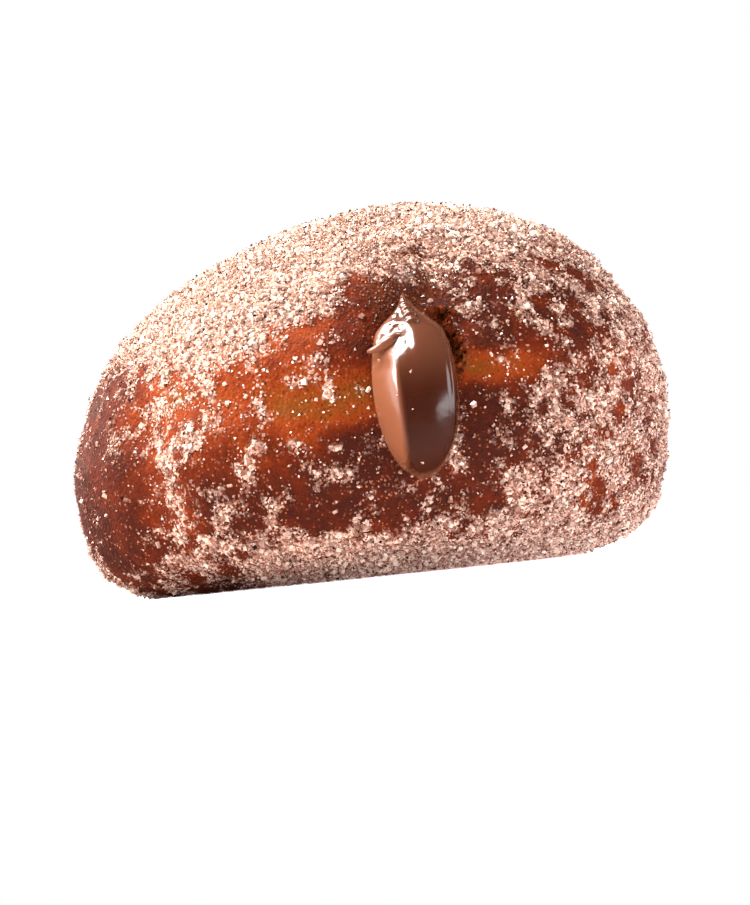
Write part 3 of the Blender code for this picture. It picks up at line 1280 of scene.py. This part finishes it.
@dataclass
class Tongue:
    """The tongue of cream that hangs down the front, which replaces the plain filling solid.

    Across the tongue, -1 is its left edge and 1 its right edge; up it, -1 is its tip and 1 its
    top. Ranges are where a change along it starts and ends.
    """

    form: DoughForm
    x: float = 6.7 * MM
    half_width: float = 5.45 * MM
    thickness: float = 5.6 * MM
    sink: float = 1.0 * MM
    ridge: float = -0.42
    flank_bulge: float = 0.3
    face_slope: float = 0.10
    face_curve: float = 0.30
    face_bend: float = 0.1
    shoulder: float = 0.80
    rim_height: float = 0.78
    groove_depth: float = 0.05
    groove_spread: float = 0.03
    facet_start: float = 0.40
    facet_slope: float = 0.62
    dome_height: float = 1.04
    dome_power: float = 2.2
    softness: float = 0.11
    lean: float = 0.15 * MM
    lean_range: Pair = (0.2, 1.0)
    waist_cut: float = 0.55
    waist_range: Pair = (0.60, 0.95)
    round_power: float = 2.1
    end_power: float = 2.6
    sag: float = 0.36
    top_thickness: float = 0.66
    extra_thickness: float = 0.34
    thin_range: Pair = (0.95, 0.40)
    notch_depth: float = 0.35
    notch_drop: float = 1.4 * MM
    notch_spread: float = 0.7
    notch_range: Pair = (-0.45, -0.95)
    dome_range: Pair = (0.15, 0.65)
    lumps: float = 1.1 * MM
    lump_size: float = 1.8 * MM
    lump_least: float = 0.03
    lump_range: Pair = (0.15, -0.25)
    noise: LatticeNoise = LatticeNoise(17)
    flap_height: float = 28.6 * MM
    # Painted light: the cream is painted paler on its lit left flank, on its upper part and along
    # its lower rim, standing in for the key light and the rim reflection.
    painted_lit_flank: Pair = (0.14, -0.06)
    painted_lit_top: float = 0.45
    painted_lit_top_range: Pair = (-7.0 * MM, 1.0 * MM)
    painted_rim_light: float = 0.7
    painted_rim_light_range: Pair = (0.86, 0.97)
    covered: float = 0.92
    rings: int = 150
    ring_points: int = 132
    probe_rows: tuple[int, int] = (80, 160)
    probe_edge: float = 0.99
    probe_reach: float = 0.4 * MM
    front_from: float = 1e-6
    flap: Strand = Strand((mm(5.2, 29.8, -1.3), mm(3.9, 29.9, 1.3), mm(2.5, 28.5, 1.2),
                           mm(1.0, 28.7, 1.1)), 0.85 * MM, 0.32 * MM)
    wisp: Strand = Strand((mm(7.2, 30.4, -2.0), mm(7.2, 33.4, 0.9), mm(5.8, 34.2, 0.6),
                           mm(6.5, 36.2, 0.3)), 1.1 * MM, 0.22 * MM, ribs=7)

    def profile(self, across: Array) -> Array:
        """How proud the front stands: a lit flank, a ridge, a flat face and a rim.

        Args:
            across: Places across the tongue, from -1 to 1.

        Returns:
            The share of the full thickness at each place.
        """
        flank = np.maximum(1.0 + across, 0.0) / (1.0 + self.ridge)
        flank = flank * ((1.0 + self.flank_bulge) - self.flank_bulge * flank)
        face = (1.0 - self.face_slope * (across - self.ridge)
                - self.face_curve * np.maximum(across - self.face_bend, 0.0) ** 2)
        rim = self.rim_height * np.sqrt(np.maximum(1.0 - across, 0.0) / (1.0 - self.shoulder))
        front = soft_least(soft_least(flank, face, self.softness), rim, self.softness)
        return front - self.groove_depth * bell(across - self.shoulder, self.groove_spread)

    def shoulder_profile(self, across: Array) -> Array:
        """How proud the front stands near the top, whose left half is one broad lit facet.

        Args:
            across: Places across the tongue, from -1 to 1.

        Returns:
            The share of the full thickness at each place.
        """
        facet = self.facet_start + self.facet_slope * (1.0 + across)
        dome = np.sqrt(np.maximum(1.0 - np.abs(across) ** self.dome_power, 0.0))
        return soft_least(facet, self.dome_height * dome, self.softness)

    def surface(self, across: Array, up: Array, front: Array) -> Array:
        """Places of the tongue's surface.

        Args:
            across: Places across, from -1 to 1.
            up: Places up, from -1 to 1.
            front: Whether each place is on the front and not on the sunk back.

        Returns:
            Places in metres, one a row.
        """
        low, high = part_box("filling")
        z = 0.5 * (low.z + high.z) + up * 0.5 * (high.z - low.z)
        waist = 1.0 - self.waist_cut * smoothstep(*self.waist_range, up)
        rounded = np.sqrt(np.clip(1.0 - np.abs(up) ** self.round_power, 0.0, 1.0))
        wide = self.half_width * rounded * waist
        x = self.x - self.lean * smoothstep(*self.lean_range, up) + across * wide
        skin = self.form.front_skin(
            np.clip(x, self.x - self.half_width, self.x + self.half_width), z)
        sagged = up + self.sag * (1.0 - up ** 2)
        ends = np.clip(1.0 - np.abs(sagged) ** self.end_power, 0.0, 1.0) ** 0.5
        thin = self.top_thickness + self.extra_thickness * smoothstep(*self.thin_range, up)
        notch = bell((z - self.flap_height + self.notch_drop) / MM, self.notch_spread)
        notch = self.notch_depth * notch * smoothstep(*self.notch_range, across)
        domed = smoothstep(*self.dome_range, up)
        form = (1.0 - domed) * self.profile(across) + domed * self.shoulder_profile(across)
        proud = self.thickness * ends * thin * (form - notch)
        places = np.column_stack((x, skin, z))
        rough = self.lump_least + domed * smoothstep(*self.lump_range, across)
        proud = proud + self.lumps * rough * ends * self.noise.layered(places, self.lump_size)
        return np.column_stack((x, skin - np.where(front, proud, -self.sink), z))

    def front_at(self, x: Array, z: Array) -> Array:
        """Depth of the cream's front, or of the dough's skin beside the cream.

        Args:
            x: Places across, in metres.
            z: Heights, in metres.

        Returns:
            The y at each x and z.
        """
        edge = self.probe_edge
        columns, rows = (np.linspace(-edge, edge, count) for count in self.probe_rows)
        across, up = np.meshgrid(columns, rows)
        places = self.surface(across.ravel(), up.ravel(), np.ones(across.size, bool))
        apart = np.hypot(places[:, 0] - x[:, None], places[:, 2] - z[:, None])
        nearest = places[apart.argmin(axis=1), 1]
        return np.where(apart.min(axis=1) < self.probe_reach, nearest, self.form.front_skin(x, z))

    def mesh(self) -> tuple[Array, Array]:
        """Work out the tongue with its flap and its wisp.

        Returns:
            Points, one a row, and four-sided faces as rows of row numbers.
        """
        up = -np.cos(np.linspace(0.0, math.pi, self.rings))
        angle = FULL_TURN * np.arange(self.ring_points) / self.ring_points
        grid_up, grid_angle = (grid.ravel() for grid in np.meshgrid(up, angle, indexing="ij"))
        in_front = np.sin(grid_angle) > self.front_from
        points = self.surface(-np.cos(grid_angle), grid_up, in_front)
        faces = tube_faces(self.rings, self.ring_points)
        for strand in (self.flap, self.wisp):
            more_points, more_faces = strand.mesh(self)
            faces = np.vstack((faces, more_faces + len(points)))
            points = np.vstack((points, more_points))
        return points, faces

    def build(self, material: bpy.types.Material) -> bpy.types.Object:
        """Make the cream as one piece and dress it.

        Args:
            material: The cream's material.

        Returns:
            The cream object.
        """
        points, faces = self.mesh()
        item = new_mesh("cream_tongue", points, faces, smooth=True)
        # Painted light: the paler colour on the lit flank, the upper part and the lower rim.
        set_attribute(item, "thin", self.painted_paleness(points))
        item.data.materials.append(material)
        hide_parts("filling")
        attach(item, BODY)
        return item

    def share_of(self, points: Array) -> tuple[Array, Array]:
        """Where each place lies on the tongue.

        Args:
            points: Places in metres, one a row.

        Returns:
            How far across and how far up each place is, both from -1 to 1 over the tongue.
        """
        low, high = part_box("filling")
        up = (points[:, 2] - 0.5 * (low.z + high.z)) / (0.5 * (high.z - low.z))
        return (points[:, 0] - self.x) / self.half_width, up

    def painted_paleness(self, points: Array) -> Array:
        """Painted light: how much paler the cream is painted on its lit left flank, on its upper
        part and as a rim reflection along its lower edge.

        Args:
            points: Places of the cream, one a row.

        Returns:
            One value for each place, from 0 to 1.
        """
        across, up = self.share_of(points)
        # Lit left flank, lit upper part and rim reflection on the lower edge, all painted as paler
        # cream.
        start, end = self.painted_lit_flank
        flank = smoothstep(self.ridge + start, self.ridge + end, across)
        start, end = self.painted_lit_top_range
        painted_upper_light = smoothstep(self.flap_height + start, self.flap_height + end, points[:, 2])
        edge = across ** 2 + np.abs(up) ** self.round_power
        rim = self.painted_rim_light * smoothstep(*self.painted_rim_light_range, edge) * (up < 0.0)
        return np.maximum(np.maximum(flank, self.painted_lit_top * painted_upper_light), rim)

    def covers(self, points: Array) -> Array:
        """Whether the tongue lies over the front skin.

        Args:
            points: Places of the skin, one a row.

        Returns:
            True or false for each place.
        """
        across, up = self.share_of(points)
        edge = np.abs(up) ** self.round_power + across ** 2
        return (edge < self.covered) & (points[:, 1] < 0.0)


class GrainShape(Enum):
    """The crystal forms that grains are cut to."""

    BLOCK = "leaning block"
    CHIP = "eight-faced chip"
    SHARD = "four-faced shard"


CHIP_REACH = 0.5
SHARD_REACH = 0.42
BLOCK_SIDES = 4
BLOCK_REACH = 0.66
BLOCK_TOP = 0.82
BLOCK_LEAN = (0.08, -0.05)


def chip() -> tuple[Array, Array]:
    """Points and triangles of a crystal with eight faces."""
    points = np.array([(1, 0, 0), (-1, 0, 0), (0, 1, 0), (0, -1, 0), (0, 0, 1), (0, 0, -1)], float)
    return CHIP_REACH * points, np.array([(0, 2, 4), (2, 1, 4), (1, 3, 4), (3, 0, 4),
                                          (2, 0, 5), (1, 2, 5), (3, 1, 5), (0, 3, 5)])


def shard() -> tuple[Array, Array]:
    """Points and triangles of a crystal with four faces."""
    points = np.array([(1, 1, 1), (1, -1, -1), (-1, 1, -1), (-1, -1, 1)], float)
    return SHARD_REACH * points, np.array([(0, 1, 2), (0, 3, 1), (0, 2, 3), (1, 3, 2)])


def block() -> tuple[Array, Array]:
    """Points and triangles of a leaning block whose top is smaller than its foot.

    Returns:
        Points, one a row, and triangles as rows of row numbers, facing out.
    """
    sides = BLOCK_SIDES
    angle = FULL_TURN * (np.arange(sides) + 0.5) / sides
    ring = np.column_stack((np.cos(angle), np.sin(angle))) * BLOCK_REACH
    low = np.column_stack((ring, np.full(sides, -0.5)))
    high = np.column_stack((ring * BLOCK_TOP + BLOCK_LEAN, np.full(sides, 0.5)))
    faces = []
    for i in range(sides):
        j = (i + 1) % sides
        faces += [(i, j, sides + j), (i, sides + j, sides + i)]
    for i in range(1, sides - 1):
        faces += [(0, i + 1, i), (sides, sides + i, sides + i + 1)]
    return np.vstack((low, high)), np.array(faces)


GRAIN_FORMS = {GrainShape.BLOCK: block, GrainShape.CHIP: chip, GrainShape.SHARD: shard}


class Home(Enum):
    """Where a kind of grain lies."""

    SUGARED = "where the sugar is clean"
    STAINED = "mostly where cream is smeared into the sugar"
    TORN = "only where the crust is torn"


@dataclass(frozen=True)
class GrainKind:
    """One kind of grain: how many, how large, and how thick it lies."""

    name: str
    count: int
    sizes: Pair
    shape: GrainShape
    finish: GrainFinish
    slot: str
    seed: int
    cover_power: float
    pile: float
    flatness: float = 1.0
    strays: int = 0
    home: Home = Home.SUGARED


@dataclass
class Coating:
    """The loose sugar and cinnamon, one piece for each kind of grain."""

    crust: bpy.types.Object
    tongue: Tongue
    cream: bpy.types.Object
    loose: float = 0.022
    foot_height: float = 0.4 * MM
    foot_share: float = 0.15
    clean_among_stained: float = 0.4
    washed_away: float = 0.94
    facing_front: float = -0.3
    small_bias: float = 1.6
    stretch: Pair = (0.62, 1.4)
    lift: float = 0.12
    tone_spread: float = 0.9
    tone_by_cover: float = 0.2
    tone_by_browning: float = 0.7
    usual_browning: float = 0.36
    map_range: Pair = (0.02, 0.98)
    map_jitter: float = 0.004
    kinds: tuple[GrainKind, ...] = (
        GrainKind("sugar_crystals_large", 6500, mm(0.38, 0.62), GrainShape.BLOCK, SUGAR_CLEAR,
                  "sugar", 21, 1.6, 0.45),
        GrainKind("sugar_crystals_middle", 24500, mm(0.27, 0.44), GrainShape.CHIP, SUGAR_CLEAR,
                  "sugar", 22, 1.1, 0.4),
        GrainKind("sugar_crystals_small", 49000, mm(0.20, 0.40), GrainShape.SHARD, SUGAR_CLEAR,
                  "sugar", 23, 0.7, 0.35, strays=6),
        GrainKind("sugar_crystals_stained", 23500, mm(0.24, 0.44), GrainShape.CHIP,
                  SUGAR_STAINED, "sugar", 24, 0.8, 0.3, home=Home.STAINED),
        GrainKind("torn_crumbs", 260, mm(0.30, 0.80), GrainShape.BLOCK, CRUMB_BROWN,
                  "dough", 26, 1.0, 0.2, home=Home.TORN),
        GrainKind("cinnamon_specks", 4800, mm(0.16, 0.52), GrainShape.CHIP, CINNAMON_DARK,
                  "cinnamon", 25, 1.5, 0.75, flatness=0.45),
    )

    def weights(self, kind: GrainKind, quads: Array, points: Array) -> Array:
        """How likely a grain is to lie on each face of the crust.

        Args:
            kind: The kind of grain.
            quads: The crust's faces, as rows of four row numbers.
            points: The crust's points, one a row.

        Returns:
            One chance for each face, all adding up to 1.
        """
        mesh = self.crust.data
        thick, smeared, torn = (read_attribute(mesh, name)[quads].mean(axis=1)
                                for name in ("sugar_cover", "stain", "torn"))
        area = read_rows(mesh.polygons, "area", 1)
        foot = points[quads][:, :, 2].max(axis=1) < self.foot_height
        weight = area * (thick ** kind.cover_power + self.loose)
        weight = weight * np.where(foot, self.foot_share, 1.0)
        if kind.home is Home.STAINED:
            weight = weight * self.clean_among_stained + area * smeared
        elif kind.home is Home.TORN:
            weight = area * torn
        else:
            weight *= 1.0 - self.washed_away * smeared
        weight *= ~self.tongue.covers(points[quads].mean(axis=1))
        return weight / weight.sum()

    def spots(self, kind: GrainKind, random: np.random.Generator) -> tuple[Array, ...]:
        """Choose where the grains of one kind lie.

        Args:
            kind: The kind of grain.
            random: The source of chance.

        Returns:
            Places, outward normals, the sugar's thickness and the crust's browning there,
            one row each.
        """
        mesh = self.crust.data
        points = read_rows(mesh.vertices, "co", 3)
        normals = read_rows(mesh.vertices, "normal", 3)
        quads = read_rows(mesh.loops, "vertex_index", 1, np.int32).reshape(-1, 4)
        chosen = random.choice(len(quads), size=kind.count, p=self.weights(kind, quads, points))
        under = quads[chosen]
        share = random.dirichlet((1.0, 1.0, 1.0, 1.0), size=kind.count)[:, :, None]
        place = (points[under] * share).sum(axis=1)
        normal = (normals[under] * share).sum(axis=1)
        normal /= np.linalg.norm(normal, axis=1, keepdims=True)
        cover, browning = (read_attribute(mesh, name)[under].mean(axis=1)
                           for name in ("sugar_cover", "browning"))
        return place, normal, cover, browning

    def stray(self, kind: GrainKind, random: np.random.Generator,
              place: Array, normal: Array) -> None:
        """Move the first few grains of one kind onto the front of the cream.

        Args:
            kind: The kind of grain.
            random: The source of chance.
            place: The grains' places, changed in place.
            normal: Their outward normals, changed in place.
        """
        points = read_rows(self.cream.data.vertices, "co", 3)
        normals = read_rows(self.cream.data.vertices, "normal", 3)
        low = points[:, 2] < self.tongue.flap_height
        front = np.nonzero((normals[:, 1] < self.facing_front) & low)[0]
        chosen = random.choice(front, size=kind.strays)
        place[:kind.strays], normal[:kind.strays] = points[chosen], normals[chosen]

    def cut(self, kind: GrainKind, random: np.random.Generator, template: Array,
            size: Array) -> Array:
        """Stretch and turn a template into grains that all differ.

        Args:
            kind: The kind of grain.
            random: The source of chance.
            template: The points of one grain about 1 across.
            size: Each grain's size in metres.

        Returns:
            Points about each grain's middle, as an array of grain, point, axis.
        """
        stretch = random.uniform(*self.stretch, (kind.count, 3)) * (1.0, 1.0, kind.flatness)
        turn = random.normal(size=(kind.count, 4))
        grains = template[None] * (stretch * size[:, None])[:, None, :]
        return rotate(grains, turn / np.linalg.norm(turn, axis=1, keepdims=True))

    def tones(self, cover: Array, browning: Array, random: np.random.Generator) -> Array:
        """Each grain's tone, lighter on thick sugar and darker on dark crust.

        Args:
            cover: How thick the sugar is under each grain.
            browning: How dark the crust is under each grain.
            random: The source of chance.

        Returns:
            One value for each grain, from 0 to 1.
        """
        tone = self.tone_spread * random.random(len(cover)) + self.tone_by_cover * (cover - 0.5)
        return np.clip(tone + self.tone_by_browning * (self.usual_browning - browning), 0.0, 1.0)

    def build_kind(self, kind: GrainKind) -> bpy.types.Object:
        """Make all the grains of one kind as one mesh.

        Args:
            kind: The kind of grain.

        Returns:
            The piece, without its material.
        """
        random = np.random.default_rng(kind.seed)
        place, normal, cover, browning = self.spots(kind, random)
        if kind.strays:
            self.stray(kind, random, place, normal)
        template, triangles = GRAIN_FORMS[kind.shape]()
        smallest, largest = kind.sizes
        size = smallest + (largest - smallest) * random.random(kind.count) ** self.small_bias
        grains = self.cut(kind, random, template, size)
        lift = size * self.lift + kind.pile * MM * random.random(kind.count) * cover ** 2
        points = (grains + (place + normal * lift[:, None])[:, None, :]).reshape(-1, 3)
        points[:, 2] = np.maximum(points[:, 2], 0.0)
        step = np.arange(kind.count)[:, None, None] * len(template)
        faces = (triangles[None] + step).reshape(-1, 3)
        item = new_mesh(kind.name, points, faces, smooth=False)
        tone = np.repeat(self.tones(cover, browning, random), len(template))
        set_attribute(item, "tone", tone)
        self.add_map(item, tone, random)
        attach(item, BODY)
        return item

    def add_map(self, item: bpy.types.Object, tone: Array, random: np.random.Generator) -> None:
        """Lay the grains' faces out on a map by their tone, so that a small map holds them all.

        Args:
            item: The piece.
            tone: The tone at each of its points.
            random: The source of chance.
        """
        corners = read_rows(item.data.loops, "vertex_index", 1, np.int32)
        low, high = self.map_range
        jitter = random.uniform(-self.map_jitter, self.map_jitter, len(corners))
        across = low + (high - low) * tone[corners] + jitter
        set_map(item, np.column_stack((across, random.uniform(low, high, len(corners)))))

    def build(self) -> list[bpy.types.Object]:
        """Make every kind of grain and dress it.

        Returns:
            The pieces.
        """
        made, materials = [], {}
        for kind in self.kinds:
            item = self.build_kind(kind)
            if kind.finish.name not in materials:
                materials[kind.finish.name] = kind.finish.build()
            item.data.materials.append(materials[kind.finish.name])
            made.append(item)
        return made


# ---------------------------------------------------------------- the studio

@dataclass(frozen=True)
class Lamp:
    """A soft light: where it hangs and its size in metres, its power in watts and its colour."""

    name: str
    place: Triple
    size: Pair
    power: float
    colour: Triple
    shape: str = "RECTANGLE"

    def hang(self, target: Triple) -> None:
        """Add the light to the scene.

        Args:
            target: The place that it faces.
        """
        data = bpy.data.lights.new(self.name, "AREA")
        data.shape = self.shape
        data.size, data.size_y = self.size
        data.energy = self.power
        data.color = self.colour
        item = bpy.data.objects.new(self.name, data)
        item.location = self.place
        facing = Vector(target) - Vector(self.place)
        item.rotation_euler = facing.to_track_quat("-Z", "Y").to_euler()
        item.visible_camera = False
        bpy.context.scene.collection.objects.link(item)


@dataclass
class Studio:
    """A white floor, soft lights and the camera."""

    distance: float = 450 * MM
    camera_x: float = 0.7 * MM
    camera_height: float = 4.0 * MM
    aim_height: float = 16.8 * MM
    lens: float = 130.6
    sensor: float = 36.0
    roll: float = 6.0
    lamps_aim: Triple = (0, 0, 0.025)
    lamps: tuple[Lamp, ...] = (
        Lamp("key", (-0.52, -0.06, 0.44), (0.42, 0.42), 13.4, (1.0, 0.955, 0.90)),
        Lamp("top", (-0.16, 0.06, 0.58), (0.26, 0.24), 8.6, (1.0, 0.98, 0.96)),
        Lamp("card", (0.56, -0.22, 0.05), (0.40, 0.12), 0.75, (0.96, 0.97, 1.0), "ELLIPSE"),
        Lamp("low fill", (0.44, 0.16, 0.10), (0.42, 0.20), 0.9, (0.97, 0.94, 1.0)),
    )
    floor_half: float = 3.0
    floor_bounce: Colour = (0.75, 0.68, 0.66, 1.0)
    floor_mirrored: Colour = (0.06, 0.05, 0.05, 1.0)
    floor_seen: Colour = (0.85, 0.85, 0.85, 1.0)
    floor_glow: float = 0.8
    floor_fill: Pair = (0.5, 3.2)
    floor_fill_range: Pair = (-0.03, 0.06)
    floor_tint: Colour = (0.92, 0.93, 1.0, 1.0)
    floor_roughness: float = 0.9
    brightest: Triple = (-0.10, 0.42, 0.90)
    backdrop_range: Pair = (-0.55, 0.75)
    backdrop: float = 0.80
    room: float = 0.15
    window: Triple = (-0.91, 0.38, 0.16)
    window_range: Pair = (0.5, 0.9)
    window_glow: float = 3.5
    mirrored_room: float = 0.06

    def add_floor(self) -> None:
        """Add the white floor, which lifts a soft light more strongly from the right."""
        points = self.floor_half * np.array([(-1, -1, 0), (1, -1, 0), (1, 1, 0), (-1, 1, 0)], float)
        item = new_mesh("floor", points, np.array([(0, 1, 2, 3)]), smooth=False)
        material, graph, shader = new_material("white_floor")
        path = graph.add("ShaderNodeLightPath").outputs
        unseen = graph.mix(path["Is Glossy Ray"], self.floor_bounce, self.floor_mirrored)
        colour = graph.mix(path["Is Camera Ray"], unseen, self.floor_seen)
        graph.feed(shader.inputs["Base Color"], colour)
        aside = graph.add("ShaderNodeSeparateXYZ", {"Vector": graph.places()}).outputs["X"]
        left, right = self.floor_fill
        fill = graph.scale(graph.ease(aside, *self.floor_fill_range), right - left, left)
        fill = graph.maths("MULTIPLY", path["Is Diffuse Ray"], fill)
        glow = graph.scale(path["Is Camera Ray"], self.floor_glow, fill)
        graph.feed(shader.inputs["Emission Strength"], glow)
        shader.inputs["Emission Color"].default_value = self.floor_tint
        shader.inputs["Roughness"].default_value = self.floor_roughness
        item.data.materials.append(material)

    def set_world(self) -> None:
        """Make the surroundings white to the camera, and as a light brightest above."""
        world = bpy.data.worlds.new("white_studio")
        bpy.context.scene.world = world
        world.use_nodes = True
        graph = NodeGraph(world.node_tree)
        background = world.node_tree.nodes["Background"].inputs
        background["Color"].default_value = (1.0, 1.0, 1.0, 1.0)
        here = graph.add("ShaderNodeTexCoord").outputs["Generated"]
        glows = []
        for toward, reach, strength, least in (
                (self.brightest, self.backdrop_range, self.backdrop, self.room),
                (self.window, self.window_range, self.window_glow, self.mirrored_room)):
            facing = graph.add("ShaderNodeVectorMath", {0: here, 1: toward},
                               operation="DOT_PRODUCT").outputs["Value"]
            glows.append(graph.scale(graph.ease(facing, *reach), strength, least))
        light, mirrored = glows
        path = graph.add("ShaderNodeLightPath").outputs
        glossy = path["Is Glossy Ray"]
        light = graph.scale(light, graph.maths("SUBTRACT", 1.0, glossy),
                            graph.maths("MULTIPLY", mirrored, glossy))
        graph.feed(background["Strength"], graph.maths("MAXIMUM", path["Is Camera Ray"], light))

    def add_camera(self) -> None:
        """Add the camera, level with the doughnut's lower half and rolled a little."""
        data = bpy.data.cameras.new("camera")
        data.lens = self.lens
        data.sensor_width = self.sensor
        item = bpy.data.objects.new("camera", data)
        item.location = (self.camera_x, -self.distance, self.camera_height)
        pitch = math.atan2(self.aim_height - self.camera_height, self.distance)
        facing = Euler((math.radians(90) + pitch, 0, 0)).to_matrix()
        rolled = Euler((0, 0, math.radians(-self.roll))).to_matrix()
        item.rotation_euler = (facing @ rolled).to_euler()
        bpy.context.scene.collection.objects.link(item)
        bpy.context.scene.camera = item

    def build(self) -> None:
        """Set up the whole studio."""
        bpy.context.scene.view_settings.view_transform = "Standard"
        self.set_world()
        self.add_floor()
        for lamp in self.lamps:
            lamp.hang(self.lamps_aim)
        self.add_camera()


# ---------------------------------------------------------------- all together


def main() -> None:
    """Build the doughnut's pieces and the studio."""
    logging.basicConfig(level=logging.INFO, format="%(message)s")
    form = DoughForm()
    crust = Crust(form, SkinMap(form)).build(CrustFinish().build())
    log.info("crust: %d points", len(crust.data.vertices))
    tongue = Tongue(form)
    cream = tongue.build(CreamFinish().build())
    log.info("cream: %d points", len(cream.data.vertices))
    for item in Coating(crust, tongue, cream).build():
        log.info("%s: %d faces", item.name, len(item.data.polygons))
    Studio().build()


if __name__ == "__main__":
    main()
